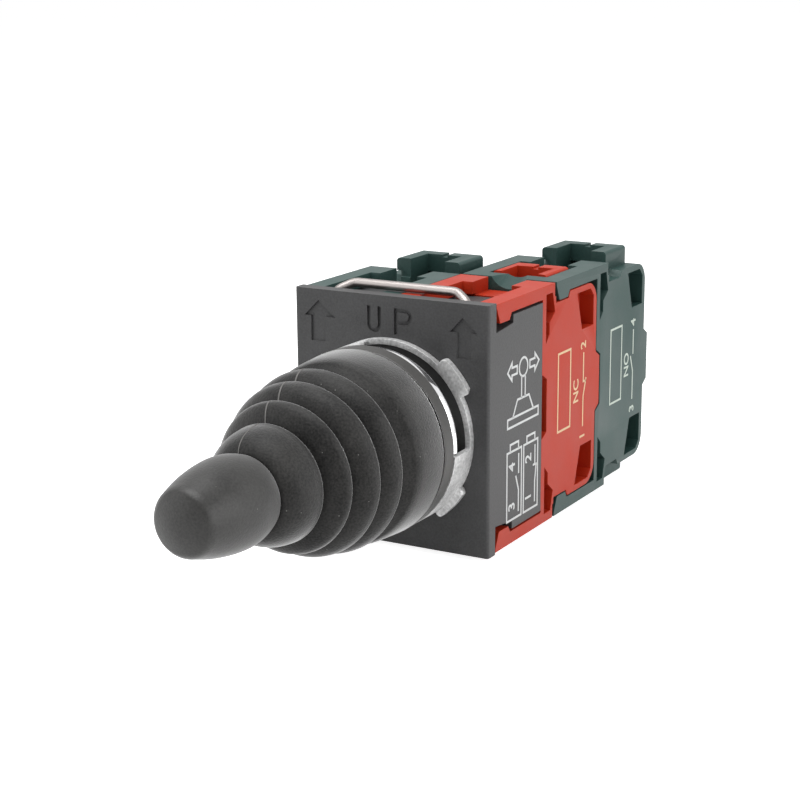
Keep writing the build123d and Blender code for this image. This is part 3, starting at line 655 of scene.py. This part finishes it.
def nut():
    """Cast nut whose tabs have rounded corners, with painted shade on the face in its recess."""
    shape = merged_node("ring_nut", joined=False)
    corners = []
    for edge in shape.edges:
        first, second = (corner.co for corner in edge.verts)
        along = abs(first.y - second.y) > 0.9 * (first - second).length
        if along and edge.is_manifold and from_axis(first) > TAB_REACH:
            if edge.calc_face_angle() > TAB_CORNER:
                corners.append(edge)
    bmesh.ops.bevel(
        shape,
        geom=corners,
        offset=TAB_ROUND,
        offset_type="OFFSET",
        segments=4,
        profile=0.5,
        affect="EDGES",
        material=-1,
        clamp_overlap=True,
    )
    piece = keep_mesh("nut", shape, ZINC)
    # Painted shade: the faces of the recess floor take the dark zinc.
    piece.data.materials.append(ZINC_PAINTED_SHADE)
    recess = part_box("ring_nut")[1].y - NUT_FLOOR
    for face in piece.data.polygons:
        if abs(face.center.y - recess) < 0.1 * MM and face.normal.y < -0.9:
            face.material_index = 1
    shade(piece)
    soften(piece, NUT_EDGE)
    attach(piece, "housing")
    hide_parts("ring_nut")


def head():
    """Rim, chrome ring, gasket, nut and neck."""
    dressed_node("bezel", "rim", "housing", RIM_BLACK, 0.24 * MM)
    chrome_trim()
    dressed_node("panel_gasket", "gasket", "housing", GASKET_BLACK, 0.08 * MM)
    dressed_node("threaded_neck", "neck", "housing", RIM_BLACK, 0.08 * MM)
    nut()


# Marks sunk in the plate's front: places from the plate's middle, in millimetres

MARK_DEPTH = 0.35
MARK_STROKE = 0.62
ARROWS = [
    {"tip": (-13.0, 18.2), "head": (-15.6, -9.9), "neck": 15.65, "stem": (-14.4, -11.7), "foot": 11.6},
    {"tip": (12.8, 17.8), "head": (10.6, 15.4), "neck": 15.45, "stem": (11.8, 14.3), "foot": 11.4},
]


def on_plate(x, z, y=0.0):
    """A point on the plate's front face from (x, z) in millimetres."""
    return Vector((x * MM, PLATE_FRONT + y * MM, PLATE_MIDDLE + z * MM))


def arrow_shape(arrow):
    """A solid arrow that stands through the plate's front face."""
    left, right = arrow["head"]
    stem_left, stem_right = arrow["stem"]
    neck, foot = arrow["neck"], arrow["foot"]
    outline = [
        arrow["tip"],
        (right, neck),
        (stem_right, neck),
        (stem_right, foot),
        (stem_left, foot),
        (stem_left, neck),
        (left, neck),
    ]
    shape = bmesh.new()
    face = shape.faces.new([shape.verts.new(on_plate(x, z, -MARK_DEPTH)) for x, z in outline])
    raised = bmesh.ops.extrude_face_region(shape, geom=[face])
    corners = [item for item in raised["geom"] if isinstance(item, bmesh.types.BMVert)]
    bmesh.ops.translate(shape, vec=(0, 2 * MARK_DEPTH * MM, 0), verts=corners)
    bmesh.ops.recalc_face_normals(shape, faces=shape.faces[:])
    return shape


def arc(middle, radius, start, end, count=10):
    """Points of a round stretch, from angles in degrees."""
    span = [math.radians(start + (end - start) * step / count) for step in range(count + 1)]
    return [(middle[0] + radius * math.cos(turn), middle[1] + radius * math.sin(turn)) for turn in span]


LETTER_U = [(-3.72, 18.2), *arc((-2.77, 15.3), 0.95, 180, 360), (-1.82, 18.2)]
STEM_P = [(1.1, 14.0), (1.1, 18.2)]
BOWL_P = [(0.9, 17.85), *arc((2.75, 16.9), 0.95, 90, -90), (0.9, 15.95)]


def ribbon(lines, to_place, lift):
    """A bmesh of upright ribbons along lines, to be given their width by Solidify."""
    shape = bmesh.new()
    for line in lines:
        closed = line[0] == line[-1]
        points = line[:-1] if closed else line
        base = [shape.verts.new(to_place(*point)) for point in points]
        pairs = zip(base, base[1:] + base[:1]) if closed else zip(base, base[1:])
        edges = [shape.edges.new(pair) for pair in pairs]
        raised = bmesh.ops.extrude_edge_only(shape, edges=edges)
        corners = [item for item in raised["geom"] if isinstance(item, bmesh.types.BMVert)]
        bmesh.ops.translate(shape, vec=lift, verts=corners)
    return shape


def widened(piece, width):
    """Gives a piece's ribbons their width."""
    wall = piece.modifiers.new("stroke", "SOLIDIFY")
    wall.thickness = width
    wall.offset = 0
    wall.use_even_offset = True


def settled(piece):
    """Fixes a piece's modifiers into its mesh."""
    seen = piece.evaluated_get(bpy.context.evaluated_depsgraph_get())
    mesh = bpy.data.meshes.new_from_object(seen)
    piece.modifiers.clear()
    piece.data = mesh


def cut_out(piece, cutter):
    """Cuts a closed shape out of a piece and deletes the cutter."""
    cut = piece.modifiers.new("cut", "BOOLEAN")
    cut.operation = "DIFFERENCE"
    cut.solver = "EXACT"
    cut.object = cutter
    settled(piece)
    bpy.data.objects.remove(cutter)


def sunk_marks(piece):
    """Cuts the two arrows and the letters into the plate's front."""
    settled(piece)
    for arrow in ARROWS:
        shape = arrow_shape(arrow)
        cut_out(piece, keep_mesh("arrow_cutter", shape, PLATE_CHARCOAL))
    for stroke in (LETTER_U, STEM_P, BOWL_P):
        shape = ribbon(
            [stroke], lambda x, z: on_plate(x, z, -MARK_DEPTH), (0, 2 * MARK_DEPTH * MM, 0)
        )
        cutter = keep_mesh("letter_cutter", shape, PLATE_CHARCOAL)
        widened(cutter, MARK_STROKE * MM)
        settled(cutter)
        cut_out(piece, cutter)


def adapter():
    """Square body with its front plate and the locking clip."""
    body = dressed_node(
        "adapter", "adapter_body", "housing", PLATE_CHARCOAL, 0.22 * MM
    )
    sunk_marks(body)
    shade(body)
    flatten(body)
    dressed_node(
        "pusher_guide", "guide_plate", "housing", PLATE_CHARCOAL, 0.12 * MM
    )
    dressed_node("guide_screws", "guide_screw_set", "housing", TURNED_STEEL, 0.05 * MM)
    dressed_node("locking_clip", "clip_wire", "clip", CLIP_STEEL, 0.1 * MM)


BLOCKS = {
    "left_front": (GREEN_MOULDING, "green_plastic"),
    "right_front": (RED_MOULDING, "red_plastic"),
    "right_rear": (GREEN_MOULDING, "green_plastic"),
}
BLOCK_METAL = [
    ("screws", "screw_set", CLIP_STEEL, "clip_steel", 0.05 * MM),
    ("clamps", "clamp_set", CLIP_STEEL, "clip_steel", 0.08 * MM),
    ("terminals", "strips", CONTACT_BRASS, "contact_brass", 0.05 * MM),
]


def blocks():
    """Contact block mouldings with their terminal hardware."""
    for block, (moulding, slot) in BLOCKS.items():
        dressed_node(f"{block}_housing", f"{block}_moulding", "housing", moulding, 0.16 * MM)
        for node, name, metal_finish, metal_slot, edge in BLOCK_METAL:
            dressed_node(
                f"{block}_{node}", f"{block}_{name}", "housing", metal_finish, edge
            )


def inner_nodes():
    """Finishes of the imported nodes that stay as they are, inside the housings."""
    finishes = {
        "knob_insert": BRASS,
        "lever_rod": TURNED_STEEL,
        "rocker": SLIDE_WHITE,
        "pivot_pin": TURNED_STEEL,
        "pusher_left": SLIDE_WHITE,
        "pusher_right": SLIDE_WHITE,
    }
    for block in BLOCKS:
        finishes[f"{block}_plunger"] = SLIDE_WHITE
        finishes[f"{block}_bridge"] = CONTACT_BRASS
    finishes["left_front_contact_spring"] = SPRING_STEEL
    finishes["right_rear_contact_spring"] = SPRING_STEEL
    for node, material in finishes.items():
        NODES[node].data.materials.clear()
        NODES[node].data.materials.append(material)


# The moving end of each spring: the body that it follows, and which end it is

SPRING_SHARP = 40
MOVING_ENDS = {
    "pusher_spring_left": ("pusher_left", "front"),
    "pusher_spring_right": ("pusher_right", "front"),
    "left_front_return_spring": ("plunger_left_front", "front"),
    "right_front_return_spring": ("plunger_right_front", "front"),
    "right_rear_return_spring": ("plunger_right_rear", "front"),
    "right_front_contact_spring": ("plunger_right_front", "rear"),
}


def springs():
    """Coil springs as merged copies of their nodes, in place of the nodes."""
    for node, (body, moving) in MOVING_ENDS.items():
        coil = merged_node(node, joined=False)
        piece = keep_mesh(f"{node}_coil", coil, SPRING_STEEL)
        shade(piece, SPRING_SHARP)
        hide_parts(node)
        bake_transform(piece)


# Prints on the right sides: (y, z) in millimetres, z from the plate's middle

PRINT_LIFT = 0.02
PRINT_LINE = 0.36
WORD_STROKE = 0.04


def box_line(left, bottom, right, top):
    """Closed outline of a rectangle."""
    return [(left, bottom), (right, bottom), (right, top), (left, top), (left, bottom)]


def side_arrow(tip, back, height, half_head, half_stem):
    """Closed outline of a block arrow along y."""
    neck = tip + (back - tip) * 0.45
    return [
        (tip, height),
        (neck, height + half_head),
        (neck, height + half_stem),
        (back, height + half_stem),
        (back, height - half_stem),
        (neck, height - half_stem),
        (neck, height - half_head),
        (tip, height),
    ]


LEVER_SIGN = [
    box_line(10.0, -0.6, 20.9, 0.8),
    [(11.8, 0.8), (13.4, 3.4), (17.5, 3.4), (19.1, 0.8)],
    [(14.8, 3.4), (14.8, 6.9)],
    [(16.1, 3.4), (16.1, 6.9)],
    arc((15.45, 8.3), 1.5, 0, 360, 20)[:-1] + [(16.95, 8.3)],
    side_arrow(9.9, 13.2, 8.3, 1.4, 0.6),
    side_arrow(21.0, 17.7, 8.3, 1.4, 0.6),
]
UNIT_SIGN = [
    box_line(9.9, -15.8, 15.0, -4.6),
    box_line(15.8, -15.8, 20.9, -4.6),
    [(11.0, -4.6), (11.0, -3.4), (13.9, -3.4), (13.9, -4.6)],
    [(16.9, -4.6), (16.9, -3.4), (19.8, -3.4), (19.8, -4.6)],
    [(14.0, -15.0), (14.0, -11.4), (13.0, -8.9)],
    [(14.0, -8.7), (14.0, -5.4)],
    [(19.9, -15.0), (19.9, -11.4), (20.4, -8.6)],
    [(19.2, -8.7), (19.9, -8.7), (19.9, -5.4)],
]
RED_SIGN = [
    [(38.6, -6.8), (38.6, -1.6), (39.7, 1.5)],
    [(39.6, 1.0), (38.6, 1.0), (38.6, 6.0)],
    box_line(28.6, -5.6, 33.4, 7.6),
]
GREEN_SIGN = [
    [(60.0, -6.8), (60.0, -1.6), (58.9, 1.3)],
    [(60.0, 1.5), (60.0, 6.0)],
    box_line(50.0, -5.6, 54.8, 7.6),
]
SIDE_WORDS = [
    ("adapter_digit_a", "3", 12.6, -14.4, 3.0, "adapter", PRINT_PALE),
    ("adapter_digit_b", "4", 12.6, -7.9, 3.0, "adapter", PRINT_PALE),
    ("adapter_digit_c", "1", 18.5, -14.4, 3.0, "adapter", PRINT_PALE),
    ("adapter_digit_d", "2", 18.5, -7.9, 3.0, "adapter", PRINT_PALE),
    ("red_digit_a", "1", 39.4, -9.2, 2.8, "right_front_housing", PRINT_CREAM),
    ("red_digit_b", "2", 39.4, 6.6, 2.8, "right_front_housing", PRINT_CREAM),
    ("red_letters", "NC", 36.6, -2.2, 2.8, "right_front_housing", PRINT_CREAM),
    ("green_digit_a", "3", 60.8, -9.2, 2.8, "right_rear_housing", PRINT_MINT),
    ("green_digit_b", "4", 60.8, 6.6, 2.8, "right_rear_housing", PRINT_MINT),
    ("green_letters", "NO", 58.0, -2.2, 2.8, "right_rear_housing", PRINT_MINT),
]


def side_of(node):
    """Right side face of a node."""
    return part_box(node)[1].x


def printed_lines(name, lines, node, material):
    """Thin raised print of line work on a node's right side."""
    face = side_of(node)
    shape = ribbon(
        lines,
        lambda y, z: Vector((face - PRINT_LIFT * MM, y * MM, PLATE_MIDDLE + z * MM)),
        (2 * PRINT_LIFT * MM, 0, 0),
    )
    piece = keep_mesh(name, shape, material)
    widened(piece, PRINT_LINE * MM)
    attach(piece, "housing")


def printed_word(name, word, y, z, size, node, material):
    """Thin raised print of a word that reads upwards on a node's right side."""
    text = bpy.data.curves.new(name, "FONT")
    text.body = word
    text.size = size * MM
    text.extrude = PRINT_LIFT * MM
    text.offset = WORD_STROKE * MM
    holder = bpy.data.objects.new(f"{name}_text", text)
    bpy.context.scene.collection.objects.link(holder)
    seen = holder.evaluated_get(bpy.context.evaluated_depsgraph_get())
    mesh = bpy.data.meshes.new_from_object(seen)
    bpy.data.objects.remove(holder)
    upright = Matrix((
        (0, 0, 1, side_of(node)),
        (0, -1, 0, y * MM),
        (1, 0, 0, PLATE_MIDDLE + z * MM),
        (0, 0, 0, 1),
    ))
    mesh.transform(upright)
    shape = bmesh.new()
    shape.from_mesh(mesh)
    bpy.data.meshes.remove(mesh)
    bmesh.ops.remove_doubles(shape, verts=shape.verts[:], dist=MERGE)
    bmesh.ops.recalc_face_normals(shape, faces=shape.faces[:])
    piece = keep_mesh(name, shape, material)
    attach(piece, "housing")


def prints():
    """Line work and terminal numbers on the adapter's and the blocks' right sides."""
    printed_lines("adapter_lever_sign", LEVER_SIGN, "adapter", PRINT_PALE)
    printed_lines("adapter_unit_sign", UNIT_SIGN, "adapter", PRINT_PALE)
    printed_lines("red_contact_sign", RED_SIGN, "right_front_housing", PRINT_CREAM)
    printed_lines("green_contact_sign", GREEN_SIGN, "right_rear_housing", PRINT_MINT)
    for name, word, y, z, size, node, material in SIDE_WORDS:
        printed_word(name, word, y, z, size, node, material)


# Stage

FLOOR_SIZE = 6.0
FLOOR_DROP = 0.05 * MM
FLOOR_GREY = 0.8
FLOOR_GLOW = 0.88
WORLD_LIGHT = 0.15
LAMP_TARGET = (0, 5, 0)
LAMPS = [
    ("lamp above", (-40, -80, 440), 0.34, 2.6),
    ("lamp left", (-320, -360, 120), 0.40, 0.8),
    ("lamp right", (450, 20, 110), 0.40, 1.8),
]


def seen_directly(nodes, links):
    """One where the camera, a reflection or a clear view looks, and nought elsewhere."""
    path = nodes.new("ShaderNodeLightPath")
    first = nodes.new("ShaderNodeMath")
    first.operation = "MAXIMUM"
    links.new(path.outputs["Is Camera Ray"], first.inputs[0])
    links.new(path.outputs["Is Glossy Ray"], first.inputs[1])
    second = nodes.new("ShaderNodeMath")
    second.operation = "MAXIMUM"
    links.new(first.outputs["Value"], second.inputs[0])
    links.new(path.outputs["Is Transmission Ray"], second.inputs[1])
    return second.outputs["Value"]


def floor_white():
    """A floor that is seen as white where it is lit, and that keeps the object's shadow."""
    material = bpy.data.materials.new("floor white")
    material.use_nodes = True
    nodes, links = material.node_tree.nodes, material.node_tree.links
    surface = nodes["Principled BSDF"]
    surface.inputs["Base Color"].default_value = (FLOOR_GREY, FLOOR_GREY, FLOOR_GREY, 1)
    surface.inputs["Roughness"].default_value = 0.9
    surface.inputs["Specular IOR Level"].default_value = 0.0
    surface.inputs["Emission Color"].default_value = (1, 1, 1, 1)
    glow = nodes.new("ShaderNodeMath")
    glow.operation = "MULTIPLY"
    glow.inputs[1].default_value = FLOOR_GLOW
    links.new(seen_directly(nodes, links), glow.inputs[0])
    links.new(glow.outputs["Value"], surface.inputs["Emission Strength"])
    return material


def floor():
    """Plain pale floor just under the object."""
    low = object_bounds()[0]
    shape = bmesh.new()
    bmesh.ops.create_grid(shape, x_segments=1, y_segments=1, size=FLOOR_SIZE)
    bmesh.ops.translate(shape, vec=(0, 0, low.z - FLOOR_DROP), verts=shape.verts[:])
    mesh = bpy.data.meshes.new("floor")
    shape.to_mesh(mesh)
    shape.free()
    mesh.materials.append(floor_white())
    piece = bpy.data.objects.new("floor", mesh)
    bpy.context.scene.collection.objects.link(piece)
    piece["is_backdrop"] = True


def lamp(name, place, target, size, power):
    """A soft square lamp that looks at a point, its size in metres and its power in watts."""
    light = bpy.data.lights.new(name, "AREA")
    light.shape = "SQUARE"
    light.size = size
    light.energy = power
    holder = bpy.data.objects.new(name, light)
    holder.location = place
    holder.rotation_euler = (target - place).to_track_quat("-Z", "Y").to_euler()
    bpy.context.scene.collection.objects.link(holder)


def lighting():
    """A broad lamp above, a fill from each side and a pale world."""
    for name, place, size, power in LAMPS:
        lamp(name, mm(*place), mm(*LAMP_TARGET), size, power)
    world = bpy.data.worlds.new("pale world")
    world.use_nodes = True
    nodes, links = world.node_tree.nodes, world.node_tree.links
    background = nodes["Background"]
    background.inputs["Color"].default_value = (1, 1, 1, 1)
    level = nodes.new("ShaderNodeMapRange")
    level.inputs["To Min"].default_value = WORLD_LIGHT
    level.inputs["To Max"].default_value = 1.0
    links.new(seen_directly(nodes, links), level.inputs["Value"])
    links.new(level.outputs["Result"], background.inputs["Strength"])
    bpy.context.scene.world = world


def camera():
    """Camera at the photograph's place, turned by its yaw, pitch and roll."""
    view = bpy.data.cameras.new("camera")
    view.sensor_width = SENSOR_WIDTH
    view.lens = CAMERA_LENS
    view.clip_start = CAMERA_NEAR
    view.clip_end = CAMERA_FAR
    holder = bpy.data.objects.new("camera", view)
    turn = (
        Matrix.Rotation(math.radians(CAMERA_YAW), 4, "Z")
        @ Matrix.Rotation(math.radians(90 - CAMERA_PITCH), 4, "X")
        @ Matrix.Rotation(math.radians(CAMERA_ROLL), 4, "Z")
    )
    holder.matrix_world = Matrix.Translation(CAMERA_PLACE) @ turn
    bpy.context.scene.collection.objects.link(holder)
    bpy.context.scene.camera = holder


knob()
boot()
boot_seam()
head()
adapter()
blocks()
inner_nodes()
springs()
prints()
floor()
lighting()
camera()
bpy.context.scene.view_settings.view_transform = "Standard"
